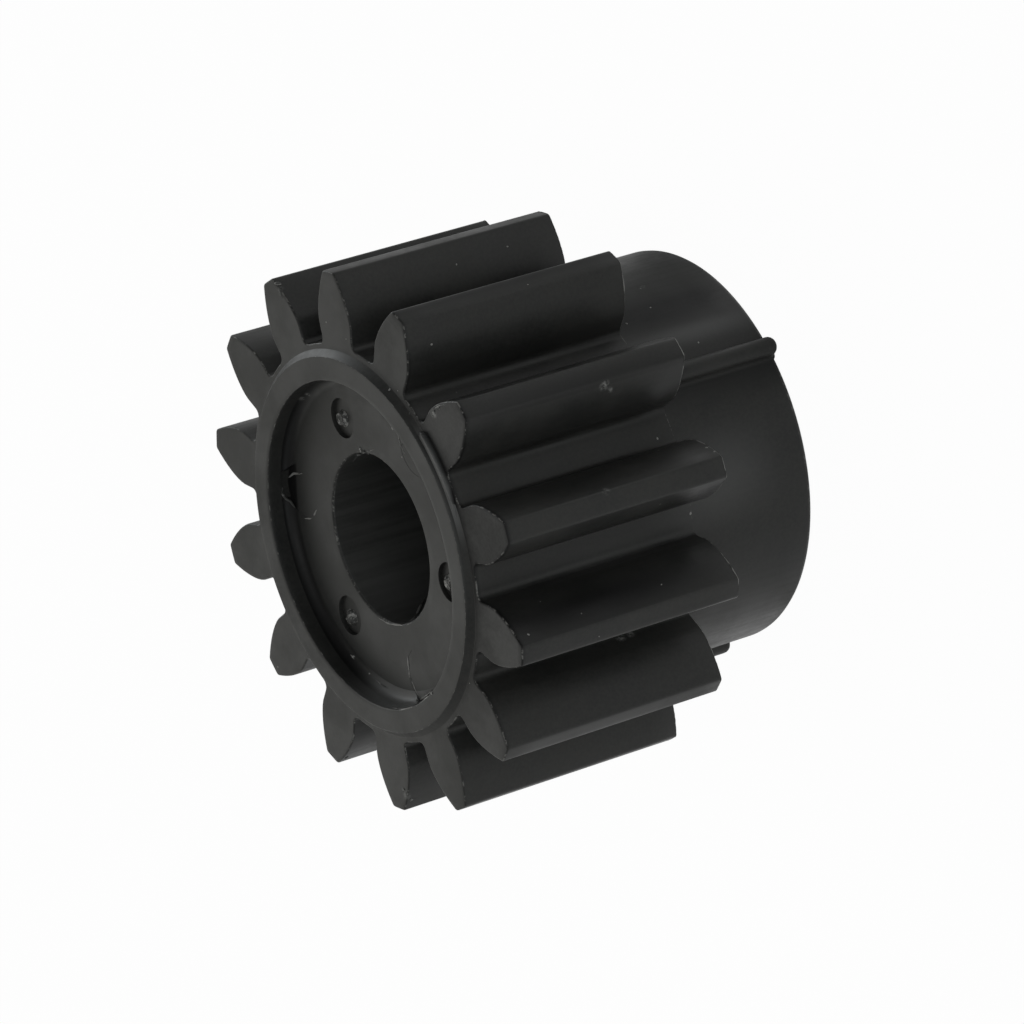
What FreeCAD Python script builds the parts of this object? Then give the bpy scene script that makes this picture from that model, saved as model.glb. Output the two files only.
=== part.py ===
import FreeCAD, Part
import math
import os

# Moulded spur gear in one piece: involute teeth, a raised ring round a shallow recess on the
# front face, a plain bore, and a long hub of root diameter with three ribs along it.
# Z is the axis: the hub's end stands at Z = 0 and the ring's face looks up.
# Angles count from +X, where a tooth and one hub rib stand in line. Millimetres and degrees.

# Toothing: straight teeth, cut to the basic rack below
tooth_count = 14
gear_module = 1.5
pressure_angle = 20.0
shift_factor = 0.1
addendum_factor = 1.0
dedendum_factor = 1.17
root_fillet = 0.3
tip_corner_radius = 0.2
tooth_edge_chamfer = 0.12
tooth_width = 11.1
flank_steps = 7

# Raised ring and recess of the front face
ring_radius = 8.5
ring_height = 0.3
ring_chamfer = 0.15
recess_radius = 7.3
recess_depth = 1.15
recess_corner_radius = 0.5

# Bore
bore_radius = 3.8
bore_chamfer = 0.12

# Hub behind the teeth
hub_length = 6.35
hub_chamfer = 0.3
core_inner_radius = 5.5
core_outer_radius = 7.1
core_depth = 13.6

# Ribs along the hub: one behind a tooth, the others at equal angles to both sides of it
rib_width = 0.85
rib_height = 0.72
rib_end_radius = 0.25
rib_middle_angle = 0.0
rib_spacing = 123.0

# Marks that the mould leaves in the recess floor
gate_count = 3
gate_pitch_radius = 5.45
gate_dimple_radius = 0.9
gate_dimple_depth = 0.3
gate_nub_radius = 0.42
gate_nub_height = 0.22
gate_first_angle = 71.5
pin_count = 3
pin_pitch_radius = 6.2
pin_mark_radius = 1.25
pin_mark_depth = 0.04
pin_first_angle = 11.5

# Sizes that follow from the ones above, the cutters' reach past the solid, and the tolerance on a place
pitch_radius = gear_module * tooth_count / 2
base_radius = pitch_radius * math.cos(math.radians(pressure_angle))
tip_radius = pitch_radius + (addendum_factor + shift_factor) * gear_module
root_radius = pitch_radius - (dedendum_factor - shift_factor) * gear_module
tooth_step = 360.0 / tooth_count
tooth_front = hub_length + tooth_width
ring_face = tooth_front + ring_height
recess_floor = ring_face - recess_depth
cut_clearance = 1.0
same_place = 1e-4
axis_z = FreeCAD.Vector(0, 0, 1)
origin = FreeCAD.Vector(0, 0, 0)


def polar(radius, angle, z=0.0):
    turn = math.radians(angle)
    return FreeCAD.Vector(radius * math.cos(turn), radius * math.sin(turn), z)


# Involute function, radians in and out
def involute(angle):
    return math.tan(angle) - angle


# Half of the tooth's angle at a radius; below the base circle the flank is radial
def half_angle(radius):
    alpha = math.radians(pressure_angle)
    thickness = gear_module * (math.pi / 2 + 2 * shift_factor * math.tan(alpha))
    at_base = thickness / (2 * pitch_radius) + involute(alpha)
    if radius <= base_radius:
        return math.degrees(at_base)
    return math.degrees(at_base - involute(math.acos(base_radius / radius)))


def arc(start, middle, end):
    return Part.Arc(start, middle, end).toShape()


# One flank from tip to root: involute, radial foot, root fillet
def flank_edges(side, centre):
    radii = [tip_radius + (base_radius - tip_radius) * i / flank_steps for i in range(flank_steps + 1)]
    curve = Part.BSplineCurve()
    curve.interpolate([polar(r, centre + side * half_angle(r)) for r in radii])
    foot_angle = half_angle(base_radius)
    fillet_centre_radius = root_radius + root_fillet
    fillet_turn = math.degrees(math.asin(root_fillet / fillet_centre_radius))
    fillet_centre = polar(fillet_centre_radius, centre + side * (foot_angle + fillet_turn))
    foot_end = polar(fillet_centre_radius * math.cos(math.radians(fillet_turn)), centre + side * foot_angle)
    on_root = polar(root_radius, centre + side * (foot_angle + fillet_turn))
    halfway = (foot_end + on_root) * 0.5 - fillet_centre
    halfway.normalize()
    fillet = arc(foot_end, fillet_centre + halfway * root_fillet, on_root)
    foot = Part.LineSegment(polar(base_radius, centre + side * foot_angle), foot_end).toShape()
    return [curve.toShape(), foot, fillet], on_root


# Whole toothed outline as one closed wire, extruded over the tooth width
def toothed_disc():
    edges = []
    tip_angle = half_angle(tip_radius)
    for tooth in range(tooth_count):
        centre = tooth * tooth_step
        right, right_root = flank_edges(-1, centre)
        left, left_root = flank_edges(1, centre)
        tip = arc(polar(tip_radius, centre - tip_angle), polar(tip_radius, centre),
                  polar(tip_radius, centre + tip_angle))
        next_root = flank_edges(-1, centre + tooth_step)[1]
        gap = arc(left_root, polar(root_radius, centre + tooth_step / 2), next_root)
        edges += right + [tip] + left + [gap]
    wire = Part.Wire(Part.__sortEdges__(edges))
    disc = Part.Face(wire).extrude(axis_z * tooth_width)
    disc.translate(axis_z * hub_length)
    return disc


# The straight edges where tip and flank meet
def tip_corner_edges(solid):
    found = []
    for edge in solid.Edges:
        if len(edge.Vertexes) != 2:
            continue
        a, b = [v.Point for v in edge.Vertexes]
        upright = math.hypot(a.x - b.x, a.y - b.y) < same_place
        if upright and abs(math.hypot(a.x, a.y) - tip_radius) < same_place:
            found.append(edge)
    return found


# Edges of the toothed outline that lie in the plane at height z
def outline_edges(solid, z):
    found = []
    for edge in solid.Edges:
        box = edge.BoundBox
        flat = abs(box.ZMin - z) < same_place and abs(box.ZMax - z) < same_place
        middle = edge.valueAt((edge.FirstParameter + edge.LastParameter) / 2)
        if flat and math.hypot(middle.x, middle.y) > root_radius - same_place:
            found.append(edge)
    return found


# Body of revolution about Z from (radius, z, corner radius) points of its half section
def turned(corners):
    edges = []
    count = len(corners)
    ends = []
    for i, (r, z, rounding) in enumerate(corners):
        here = FreeCAD.Vector(r, 0, z)
        before = FreeCAD.Vector(corners[i - 1][0], 0, corners[i - 1][1])
        after = FreeCAD.Vector(corners[(i + 1) % count][0], 0, corners[(i + 1) % count][1])
        if rounding <= 0:
            ends.append((here, here))
            continue
        to_before = (before - here).normalize()
        to_after = (after - here).normalize()
        opening = to_before.getAngle(to_after)
        reach = rounding / math.tan(opening / 2)
        start = here + to_before * reach
        end = here + to_after * reach
        bisector = (to_before + to_after).normalize()
        centre = here + bisector * (rounding / math.sin(opening / 2))
        edges.append(arc(start, centre - bisector * rounding, end))
        ends.append((start, end))
    for i in range(count):
        start = ends[i][1]
        end = ends[(i + 1) % count][0]
        if start.distanceToPoint(end) > same_place:
            edges.append(Part.LineSegment(start, end).toShape())
    wire = Part.Wire(Part.__sortEdges__(edges))
    return Part.Face(wire).revolve(origin, axis_z, 360)


def hub():
    return turned([(0, 0, 0), (root_radius - hub_chamfer, 0, 0), (root_radius, hub_chamfer, 0),
                   (root_radius, hub_length, 0), (0, hub_length, 0)])


def raised_ring():
    return turned([(0, tooth_front, 0), (ring_radius, tooth_front, 0),
                   (ring_radius, ring_face - ring_chamfer, 0), (ring_radius - ring_chamfer, ring_face, 0),
                   (0, ring_face, 0)])


# Recess and bore as one cutter, with a chamfer at both mouths of the bore
def hollows():
    above = ring_face + cut_clearance
    below = -cut_clearance
    mouth = bore_radius + bore_chamfer
    return turned([(0, below, 0), (mouth, below, 0), (mouth, 0, 0), (bore_radius, bore_chamfer, 0),
                   (bore_radius, recess_floor - bore_chamfer, 0), (mouth, recess_floor, 0),
                   (recess_radius, recess_floor, recess_corner_radius),
                   (recess_radius, above, 0), (0, above, 0)])


# Annular core between bore wall and hub wall, open at the hub's end
def rear_core():
    return turned([(core_inner_radius, -cut_clearance, 0), (core_outer_radius, -cut_clearance, 0),
                   (core_outer_radius, core_depth, 0), (core_inner_radius, core_depth, 0)])


# Bar with a round crest and a rounded end, rooted in the hub and the rear of the teeth
def rib(angle):
    crest = root_radius + rib_height
    half = rib_width / 2
    foot = root_radius - half
    shoulder = crest - half
    outline = [Part.LineSegment(FreeCAD.Vector(foot, -half, 0), FreeCAD.Vector(shoulder, -half, 0)).toShape(),
               arc(FreeCAD.Vector(shoulder, -half, 0), FreeCAD.Vector(crest, 0, 0),
                   FreeCAD.Vector(shoulder, half, 0)),
               Part.LineSegment(FreeCAD.Vector(shoulder, half, 0), FreeCAD.Vector(foot, half, 0)).toShape(),
               Part.LineSegment(FreeCAD.Vector(foot, half, 0), FreeCAD.Vector(foot, -half, 0)).toShape()]
    bar = Part.Face(Part.Wire(outline)).extrude(axis_z * (hub_length + half))
    end_edges = [e for e in bar.Edges if e.BoundBox.ZMax < same_place and e.BoundBox.XMax > foot + same_place]
    bar = bar.makeFillet(rib_end_radius, end_edges)
    bar.rotate(origin, axis_z, angle)
    return bar


# Shallow round dimple with the torn gate stub left standing in it
def gate_dimple(angle):
    place = polar(gate_pitch_radius, angle, recess_floor - gate_dimple_depth)
    dimple = Part.makeCylinder(gate_dimple_radius, gate_dimple_depth + cut_clearance, place)
    stub = Part.makeCone(gate_nub_radius, gate_nub_radius / 2, gate_nub_height, place)
    return dimple.cut(stub)


# Flat round witness of a pushing pin, almost flush, that bites into the corner below the recess wall
def pin_mark(angle):
    return Part.makeCylinder(pin_mark_radius, recess_corner_radius + pin_mark_depth,
                             polar(pin_pitch_radius, angle, recess_floor - pin_mark_depth))


teeth = toothed_disc()
teeth = teeth.makeFillet(tip_corner_radius, tip_corner_edges(teeth))
teeth = teeth.makeChamfer(tooth_edge_chamfer, outline_edges(teeth, tooth_front))
gear = teeth.fuse([hub(), raised_ring()])
gear = gear.fuse([rib(rib_middle_angle + side * rib_spacing) for side in (-1, 0, 1)])
gear = gear.removeSplitter()
marks = [gate_dimple(gate_first_angle + i * 360.0 / gate_count) for i in range(gate_count)]
marks += [pin_mark(pin_first_angle + i * 360.0 / pin_count) for i in range(pin_count)]
gear = gear.cut([hollows(), rear_core()] + marks)
gear = gear.removeSplitter()

print("solids", len(gear.Solids), "valid", gear.isValid(), "volume", round(gear.Volume, 1))
print("tip diameter", round(2 * tip_radius, 3), "root diameter", round(2 * root_radius, 3))
print("length", round(ring_face, 3), "faces", len(gear.Faces))

os.makedirs("parts", exist_ok=True)
gear.Solids[0].exportStep("parts/spur_gear.step")
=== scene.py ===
import math

import bmesh
import bpy
import numpy as np
from mathutils import Matrix, Vector
from mathutils.bvhtree import BVHTree


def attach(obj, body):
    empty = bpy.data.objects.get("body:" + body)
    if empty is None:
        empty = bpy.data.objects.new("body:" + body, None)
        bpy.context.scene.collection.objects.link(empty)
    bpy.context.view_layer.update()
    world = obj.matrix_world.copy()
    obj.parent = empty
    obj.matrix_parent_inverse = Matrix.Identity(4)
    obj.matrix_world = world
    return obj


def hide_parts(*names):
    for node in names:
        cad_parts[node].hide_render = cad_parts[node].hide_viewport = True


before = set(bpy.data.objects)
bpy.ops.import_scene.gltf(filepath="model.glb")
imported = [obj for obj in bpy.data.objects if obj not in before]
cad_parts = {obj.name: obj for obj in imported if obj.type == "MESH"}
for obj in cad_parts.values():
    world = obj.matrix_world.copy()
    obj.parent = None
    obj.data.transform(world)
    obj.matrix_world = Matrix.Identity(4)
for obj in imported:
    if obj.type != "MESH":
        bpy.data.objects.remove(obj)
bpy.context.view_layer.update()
mm = 0.001               # sizes below are in millimetres, meshes in metres
print("frame loaded")

# The gear stands on its hub's end: Z is the bore's axis, +X runs through one tooth and one rib.
gear = {
    "teeth": 14,
    "module": 1.5,
    "pressureAngle": 20.0,
    "profileShift": 0.1,
    "addendum": 1.0,
    "dedendum": 1.17,
    "rootFillet": 0.3,
    "tipCorner": 0.2,
    "frontEdge": 0.08,
    "rearEdge": 0.06,
    "hubLength": 6.35,
    "toothWidth": 11.1,
    "ringRadius": 8.38,
    "ringHeight": 0.3,
    "ringEdge": 0.04,
    "ringSlope": 0.24,       # how far the ring's side runs out towards its foot
    "ringFoot": 0.05,        # radius of the corner there
    "recessRadius": 7.3,
    "recessDepth": 1.15,
    "recessCorner": 0.5,
    "recessLip": 0.07,
    "boreRadius": 3.8,
    "boreEdge": 0.25,
    "boreFrontEdge": 0.13,
    "hubEdge": 0.3,
    "coreInner": 5.5,
    "coreOuter": 7.1,
    "coreDepth": 13.6,
    "coreCorner": 0.4,
    "coreLip": 0.12,
    "crispAngle": 38.0,      # edges that turn more than this stay sharp
}
faceSteps = (0.06, 0.25, 0.5, 0.75, 0.92)     # rows across the teeth's front, as shares of the way outwards
rearSteps = (0.2, 0.6)                        # and across their rear, inwards
samePlace = 1e-6

pitchRadius = gear["module"] * gear["teeth"] / 2
baseRadius = pitchRadius * math.cos(math.radians(gear["pressureAngle"]))
tipRadius = pitchRadius + (gear["addendum"] + gear["profileShift"]) * gear["module"]
rootRadius = pitchRadius - (gear["dedendum"] - gear["profileShift"]) * gear["module"]
halfStep = math.pi / gear["teeth"]
toothFront = gear["hubLength"] + gear["toothWidth"]
ringFace = toothFront + gear["ringHeight"]
recessFloor = ringFace - gear["recessDepth"]


def polar(radius, angle):
    return np.array([radius * math.cos(angle), radius * math.sin(angle)])


def steps(first, last, count):     # the count values that follow first, up to last
    return np.linspace(first, last, count + 1)[1:]


def meshOf(name, vertices, edges=(), faces=()):
    mesh = bpy.data.meshes.new(name)
    mesh.from_pydata(vertices, edges, faces)
    return mesh


def bandFaces(rings, wide, first=0):     # quads between rings of points that follow each other
    faces = []
    for i in range(rings - 1):
        for k in range(wide):
            a, b = first + i * wide + k, first + i * wide + (k + 1) % wide
            faces.append((a, b, b + wide, a + wide))
    return faces


def halfOutline():
    # From the tip's middle to the gap's middle: the point and outward normal of each column
    alpha = math.radians(gear["pressureAngle"])
    thickness = gear["module"] * (math.pi / 2 + 2 * gear["profileShift"] * math.tan(alpha))
    footAngle = thickness / (2 * pitchRadius) + math.tan(alpha) - alpha
    corner = gear["tipCorner"]

    def rolled(radius):             # the involute's angle at a radius
        reach = math.acos(baseRadius / radius)
        return math.tan(reach) - reach

    def onFlank(radius):            # the normal points away from where the string leaves the base circle
        angle = footAngle - rolled(radius)
        stringStart = polar(baseRadius, angle - math.acos(baseRadius / radius))
        point = polar(radius, angle)
        away = point - stringStart
        return point, away / np.linalg.norm(away)

    cornerAngle = footAngle - rolled(tipRadius - corner) - corner / baseRadius
    flankTop = math.hypot(math.sqrt((tipRadius - corner) ** 2 - baseRadius ** 2) + corner, baseRadius)
    topNormal = onFlank(flankTop)[1]
    cornerCentre = polar(tipRadius - corner, cornerAngle)

    rows = [(polar(tipRadius, 0), polar(1, 0))]
    rows += [(polar(tipRadius, a), polar(1, a)) for a in steps(0, cornerAngle, 2)]
    flankTurn = math.atan2(topNormal[1], topNormal[0])
    rows += [(cornerCentre + polar(corner, a), polar(1, a)) for a in steps(cornerAngle, flankTurn, 3)]
    rows += [onFlank(r) for r in steps(flankTop, baseRadius + 0.01, 8)]

    fillet = gear["rootFillet"]
    filletTurn = math.asin(fillet / (rootRadius + fillet))
    filletAngle = footAngle + filletTurn
    filletCentre = polar(rootRadius + fillet, filletAngle)
    filletStart = footAngle - math.pi / 2
    filletEnd = filletAngle - math.pi
    footRadius = (rootRadius + fillet) * math.cos(filletTurn)
    rows.append((polar(footRadius, footAngle), -polar(1, filletStart)))
    rows += [(filletCentre + polar(fillet, a), -polar(1, a)) for a in steps(filletStart, filletEnd, 4)]
    rows += [(polar(rootRadius, a), polar(1, a)) for a in steps(filletAngle, halfStep, 5)]
    return rows, filletAngle


def toothColumns():
    # One whole sector, from gap to gap: outline, normals, angles on the round rows, rear edge weight
    half, filletAngle = halfOutline()
    points = np.array([p for p, n in half])
    normals = np.array([n for p, n in half])
    ownAngle = np.arctan2(points[:, 1], points[:, 0])
    height = np.linalg.norm(points, axis=1) - rootRadius
    filletColumn = int(np.argmin(np.abs(ownAngle - filletAngle) + (height > samePlace)))
    angles = ownAngle.copy()
    angles[:filletColumn + 1] = np.linspace(0, filletAngle, filletColumn + 1)
    weight = np.clip(height / (2 * gear["rearEdge"]), 0, 1)
    flip = np.array([1, -1])
    return {
        "points": np.vstack([points[::-1] * flip, points[1:]]),
        "normals": np.vstack([normals[::-1] * flip, normals[1:]]),
        "angles": np.concatenate([-angles[::-1], angles[1:]]),
        "weight": np.concatenate([weight[::-1], weight[1:]]),
    }


def arcRows(centre, radius, first, last, count, **more):
    # Rows round a corner of the section; angles in degrees from +R towards +Z
    found = []
    for i, a in enumerate(np.linspace(math.radians(first), math.radians(last), count + 1)):
        place = {"r": centre[0] + radius * math.cos(a), "z": centre[1] + radius * math.sin(a)}
        found.append({**place, "edge": 1.0 if 0 < i < count else 0.0, **more})
    return found


def lineRows(start, end, count, **more):   # the rows between two corners, both ends left out
    found = []
    for t in np.linspace(0, 1, count + 2)[1:-1]:
        place = {"r": start[0] + (end[0] - start[0]) * t, "z": start[1] + (end[1] - start[1]) * t}
        found.append({**place, "edge": 0.0, **more})
    return found


def sectionRows():
    # The half section as a closed loop of rows: up the bore, over the front, down the hub, round the core
    g = gear
    bore, mouth = g["boreRadius"], g["boreRadius"] + g["boreEdge"]
    coarse = {"stride": 2}
    floorStart = g["recessRadius"] - g["recessCorner"]
    wallStart = recessFloor + g["recessCorner"]
    lip = g["recessLip"]
    ring, ringEdge, slope = g["ringRadius"], g["ringEdge"], g["ringSlope"]
    rows = arcRows((mouth, g["boreEdge"]), g["boreEdge"], 270, 180, 3, **coarse)
    front = g["boreFrontEdge"]
    rows += lineRows((bore, g["boreEdge"]), (bore, recessFloor - front), 5, **coarse)
    rows += arcRows((bore + front, recessFloor - front), front, 180, 90, 3)
    rows += lineRows((bore + front, recessFloor), (floorStart, recessFloor), 7)
    rows += arcRows((floorStart, wallStart), g["recessCorner"], 270, 360, 10, edge=0.0)
    rows += lineRows((g["recessRadius"], wallStart), (g["recessRadius"], ringFace - lip), 3)
    rows += arcRows((g["recessRadius"] + lip, ringFace - lip), lip, 180, 90, 2)
    rows += lineRows((g["recessRadius"] + lip, ringFace), (ring - ringEdge, ringFace), 5)
    rows += arcRows((ring - ringEdge, ringFace - ringEdge), ringEdge, 90, 35, 3)
    foot = g["ringFoot"]
    rows += lineRows((ring, ringFace - ringEdge), (ring + slope, toothFront + 0.4 * foot), 3)
    rows += arcRows((ring + slope + foot, toothFront + foot), foot, 215, 270, 2, edge=0.0)
    rows += [{"face": t, "z": toothFront, "edge": 0.0} for t in faceSteps]
    for i, a in enumerate(np.linspace(0, math.pi / 2, 4)):
        z = toothFront - g["frontEdge"] * (1 - math.cos(a))
        rows.append({"inset": g["frontEdge"] * (1 - math.sin(a)), "z": z, "edge": 1.0 if 0 < i < 3 else 0.0})
    flankTop, flankEnd = toothFront - g["frontEdge"], g["hubLength"] + g["rearEdge"]
    rows += [{"inset": 0, "z": z, "edge": 0.0} for z in np.linspace(flankTop, flankEnd, 9)[1:-1]]
    for i, a in enumerate(np.linspace(0, math.pi / 2, 3)):
        z = flankEnd - g["rearEdge"] * math.sin(a)
        inset = g["rearEdge"] * (1 - math.cos(a))
        rows.append({"inset": inset, "z": z, "rear": True, "edge": 1.0 if i == 1 else 0.0})
    rows += [{"behind": t, "z": g["hubLength"], "edge": 0.0} for t in rearSteps]
    rows += [{"r": rootRadius, "z": g["hubLength"], "edge": 0.0}]
    rows += lineRows((rootRadius, g["hubLength"]), (rootRadius, g["hubEdge"]), 4, **coarse)
    rows += arcRows((rootRadius - g["hubEdge"], g["hubEdge"]), g["hubEdge"], 0, -90, 4, **coarse)
    lip = g["coreLip"]
    rows += lineRows((rootRadius - g["hubEdge"], 0), (g["coreOuter"] + lip, 0), 1, **coarse)
    rows += arcRows((g["coreOuter"] + lip, lip), lip, 270, 180, 2, **coarse)
    top, round_ = g["coreDepth"], g["coreCorner"]
    rows += lineRows((g["coreOuter"], lip), (g["coreOuter"], top - round_), 2, **coarse)
    rows += arcRows((g["coreOuter"] - round_, top - round_), round_, 0, 90, 3, edge=0.0, **coarse)
    rows += arcRows((g["coreInner"] + round_, top - round_), round_, 90, 180, 3, edge=0.0, **coarse)
    rows += lineRows((g["coreInner"], top - round_), (g["coreInner"], lip), 2, **coarse)
    rows += arcRows((g["coreInner"] - lip, lip), lip, 0, -90, 2, **coarse)
    rows += lineRows((g["coreInner"] - lip, 0), (mouth, 0), 1, **coarse)
    return rows


def rowPoints(row, columns):
    circle = np.column_stack([np.cos(columns["angles"]), np.sin(columns["angles"])])
    inset = gear["frontEdge"]
    if "r" in row:
        flat = circle * row["r"]
    elif "face" in row:                       # the teeth's flat front, from the ring's foot to the edge
        outer = columns["points"] - columns["normals"] * inset
        inner = circle * (gear["ringRadius"] + gear["ringSlope"] + gear["ringFoot"])
        flat = inner + (outer - inner) * row["face"]
    elif "behind" in row:                     # the flat rear of the teeth, down to the hub
        outer = columns["points"] - columns["normals"] * (gear["rearEdge"] * columns["weight"])[:, None]
        flat = outer + (circle * rootRadius - outer) * row["behind"]
    else:
        amount = row["inset"] * (columns["weight"] if row.get("rear") else np.ones(len(columns["weight"])))
        flat = columns["points"] - columns["normals"] * amount[:, None]
    return np.column_stack([flat, np.full(len(flat), row["z"])]) * mm


def sectorMesh():
    columns = toothColumns()
    rows = sectionRows()
    count = len(columns["angles"])
    vertices, edgeMask, starts = [], [], []
    for row in rows:
        starts.append(len(vertices))
        vertices.extend(rowPoints(row, columns))
        edgeMask.extend([row["edge"]] * count)
    faces = []
    for i, row in enumerate(rows):
        after = (i + 1) % len(rows)
        a, b = starts[i], starts[after]
        here, there = row.get("stride", 1), rows[after].get("stride", 1)
        for c in range(0, count - 1, max(here, there)):
            if here == there:
                faces.append((a + c, a + c + here, b + c + here, b + c))
            elif here < there:
                faces.append((a + c, a + c + 1, b + c))
                faces.append((a + c + 1, b + c + 2, b + c))
                faces.append((a + c + 1, a + c + 2, b + c + 2))
            else:
                faces.append((a + c, b + c + 1, b + c))
                faces.append((a + c, a + c + 2, b + c + 1))
                faces.append((a + c + 2, b + c + 2, b + c + 1))
    mesh = meshOf("toothSector", vertices, faces=faces)
    mask = mesh.attributes.new("edgeMask", "FLOAT", "POINT")
    mask.data.foreach_set("value", np.array(edgeMask, np.float32))
    loose = bmesh.new()
    loose.from_mesh(mesh)
    bmesh.ops.delete(loose, geom=[v for v in loose.verts if not v.link_faces], context="VERTS")
    loose.to_mesh(mesh)
    loose.free()
    return mesh


# Node helpers
def newTree(name, inputs):
    # Besides its own inputs, a tree takes a mesh and the finish that it gives the result
    tree = bpy.data.node_groups.new(name, "GeometryNodeTree")
    for label, kind, value in [("Geometry", "Geometry", None), *inputs, ("Finish", "Material", None)]:
        socket = tree.interface.new_socket(label, in_out="INPUT", socket_type="NodeSocket" + kind)
        if value is not None:
            socket.default_value = value
    tree.interface.new_socket("Geometry", in_out="OUTPUT", socket_type="NodeSocketGeometry")
    return tree, tree.nodes.new("NodeGroupInput").outputs, tree.nodes.new("NodeGroupOutput").inputs[0]


def addNode(tree, kind, links=None, **settings):
    node = tree.nodes.new(kind)
    for key, value in settings.items():
        setattr(node, key, value)
    for socket, source in (links or {}).items():
        if isinstance(source, bpy.types.NodeSocket):
            tree.links.new(source, node.inputs[socket])
        else:
            node.inputs[socket].default_value = source
    return node


def mathNode(tree, operation, first, second=0.0, third=0.0):
    return addNode(tree, "ShaderNodeMath", {0: first, 1: second, 2: third}, operation=operation).outputs[0]


def vectorNode(tree, operation, first, second=(0.0, 0.0, 0.0), scale=None):
    links = {0: first, 1: second} if scale is None else {0: first, "Scale": scale}
    node = addNode(tree, "ShaderNodeVectorMath", links, operation=operation)
    return node.outputs["Value" if operation in ("LENGTH", "DISTANCE", "DOT_PRODUCT") else "Vector"]


def turnedBy(tree, angle):               # a rotation about Z
    euler = addNode(tree, "ShaderNodeCombineXYZ", {"Z": angle})
    return addNode(tree, "FunctionNodeEulerToRotation", {0: euler.outputs[0]}).outputs[0]


def realCopies(tree, links):
    copies = addNode(tree, "GeometryNodeInstanceOnPoints", links)
    return addNode(tree, "GeometryNodeRealizeInstances", {"Geometry": copies.outputs[0]}).outputs[0]


def pushedBy(tree, geometry, noise, reach):
    # Moves each point along the noise's colour, taken about its middle
    centred = vectorNode(tree, "SUBTRACT", noise.outputs["Color"], (0.5, 0.5, 0.5))
    push = vectorNode(tree, "SCALE", centred, scale=reach)
    return addNode(tree, "GeometryNodeSetPosition", {"Geometry": geometry, "Offset": push}).outputs[0]


def finishTree(tree, geometry, finish, result):
    coated = addNode(tree, "GeometryNodeSetMaterial", {"Geometry": geometry, "Material": finish})
    tree.links.new(coated.outputs[0], result)
    return tree


def repeatAround():
    # Copies of the incoming mesh turned about the bore's axis and welded where they meet
    tree, given, result = newTree("repeatAround", [
        ("Count", "Int", 14),
        ("First Angle", "Float", 0.0),
        ("Step Angle", "Float", 2 * math.pi / 14),
        ("Weld Distance", "Float", 0.000004),
    ])
    points = addNode(tree, "GeometryNodePoints", {"Count": given["Count"]})
    index = addNode(tree, "GeometryNodeInputIndex").outputs[0]
    angle = mathNode(tree, "MULTIPLY_ADD", index, given["Step Angle"], given["First Angle"])
    real = realCopies(tree, {
        "Points": points.outputs[0],
        "Instance": given["Geometry"],
        "Rotation": turnedBy(tree, angle),
    })
    welded = addNode(tree, "GeometryNodeMergeByDistance", {
        "Geometry": real,
        "Distance": given["Weld Distance"],
    })
    smooth = addNode(tree, "GeometryNodeSetShadeSmooth", {"Geometry": welded.outputs[0]})
    return finishTree(tree, smooth.outputs[0], given["Finish"], result)


def cutRounds():
    # Flat-bottomed round marks at equal angles, cut with crisp edges
    tree, given, result = newTree("cutRounds", [
        ("Count", "Int", 3),
        ("First Angle", "Float", 0.0),
        ("Pitch Radius", "Float", 0.005),
        ("Mark Radius", "Float", 0.001),
        ("Bottom Height", "Float", 0.016),
        ("Reach", "Float", 0.0005),
    ])
    index = addNode(tree, "GeometryNodeInputIndex").outputs[0]
    step = mathNode(tree, "DIVIDE", 2 * math.pi, given["Count"])
    angle = mathNode(tree, "MULTIPLY_ADD", index, step, given["First Angle"])
    place = addNode(tree, "ShaderNodeCombineXYZ", {
        "X": mathNode(tree, "MULTIPLY", mathNode(tree, "COSINE", angle), given["Pitch Radius"]),
        "Y": mathNode(tree, "MULTIPLY", mathNode(tree, "SINE", angle), given["Pitch Radius"]),
        "Z": mathNode(tree, "MULTIPLY_ADD", given["Reach"], 0.5, given["Bottom Height"]),
    })
    points = addNode(tree, "GeometryNodePoints", {"Count": given["Count"], "Position": place.outputs[0]})
    cutter = addNode(tree, "GeometryNodeMeshCylinder", {
        "Vertices": 96,
        "Radius": given["Mark Radius"],
        "Depth": given["Reach"],
    })
    real = realCopies(tree, {"Points": points.outputs[0], "Instance": cutter.outputs[0]})
    carved = addNode(tree, "GeometryNodeMeshBoolean", {0: given["Geometry"], 1: real},
                     operation="DIFFERENCE", solver="EXACT")
    return finishTree(tree, carved.outputs[0], given["Finish"], result)


def tornSurface():
    # Pushes points about by a fixed noise, less near the plane they stand on
    tree, given, result = newTree("tornSurface", [
        ("Roughness", "Float", 0.0001),
        ("Scale", "Float", 3000.0),
        ("Seed", "Float", 0.0),
        ("Base Height", "Float", -1.0),
        ("Rise", "Float", 0.0001),
    ])
    position = addNode(tree, "GeometryNodeInputPosition").outputs[0]
    axes = addNode(tree, "ShaderNodeSeparateXYZ", {0: position}).outputs
    noise = addNode(tree, "ShaderNodeTexNoise", {
        "Vector": position,
        "W": given["Seed"],
        "Scale": given["Scale"],
        "Detail": 3.0,
        "Roughness": 0.6,
    }, noise_dimensions="4D")
    share = addNode(tree, "ShaderNodeMapRange", {
        "Value": mathNode(tree, "SUBTRACT", axes[2], given["Base Height"]),
        "From Max": given["Rise"],
    })
    reach = mathNode(tree, "MULTIPLY", given["Roughness"], share.outputs[0])
    moved = pushedBy(tree, given["Geometry"], noise, reach)
    return finishTree(tree, moved, given["Finish"], result)


def useTree(piece, tree, values):
    modifier = piece.modifiers.new(tree.name, "NODES")
    modifier.node_group = tree
    identifiers = {item.name: item.identifier for item in tree.interface.items_tree
                   if item.item_type == "SOCKET" and item.in_out == "INPUT"}
    for name, value in values.items():
        modifier[identifiers[name]] = value


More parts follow.
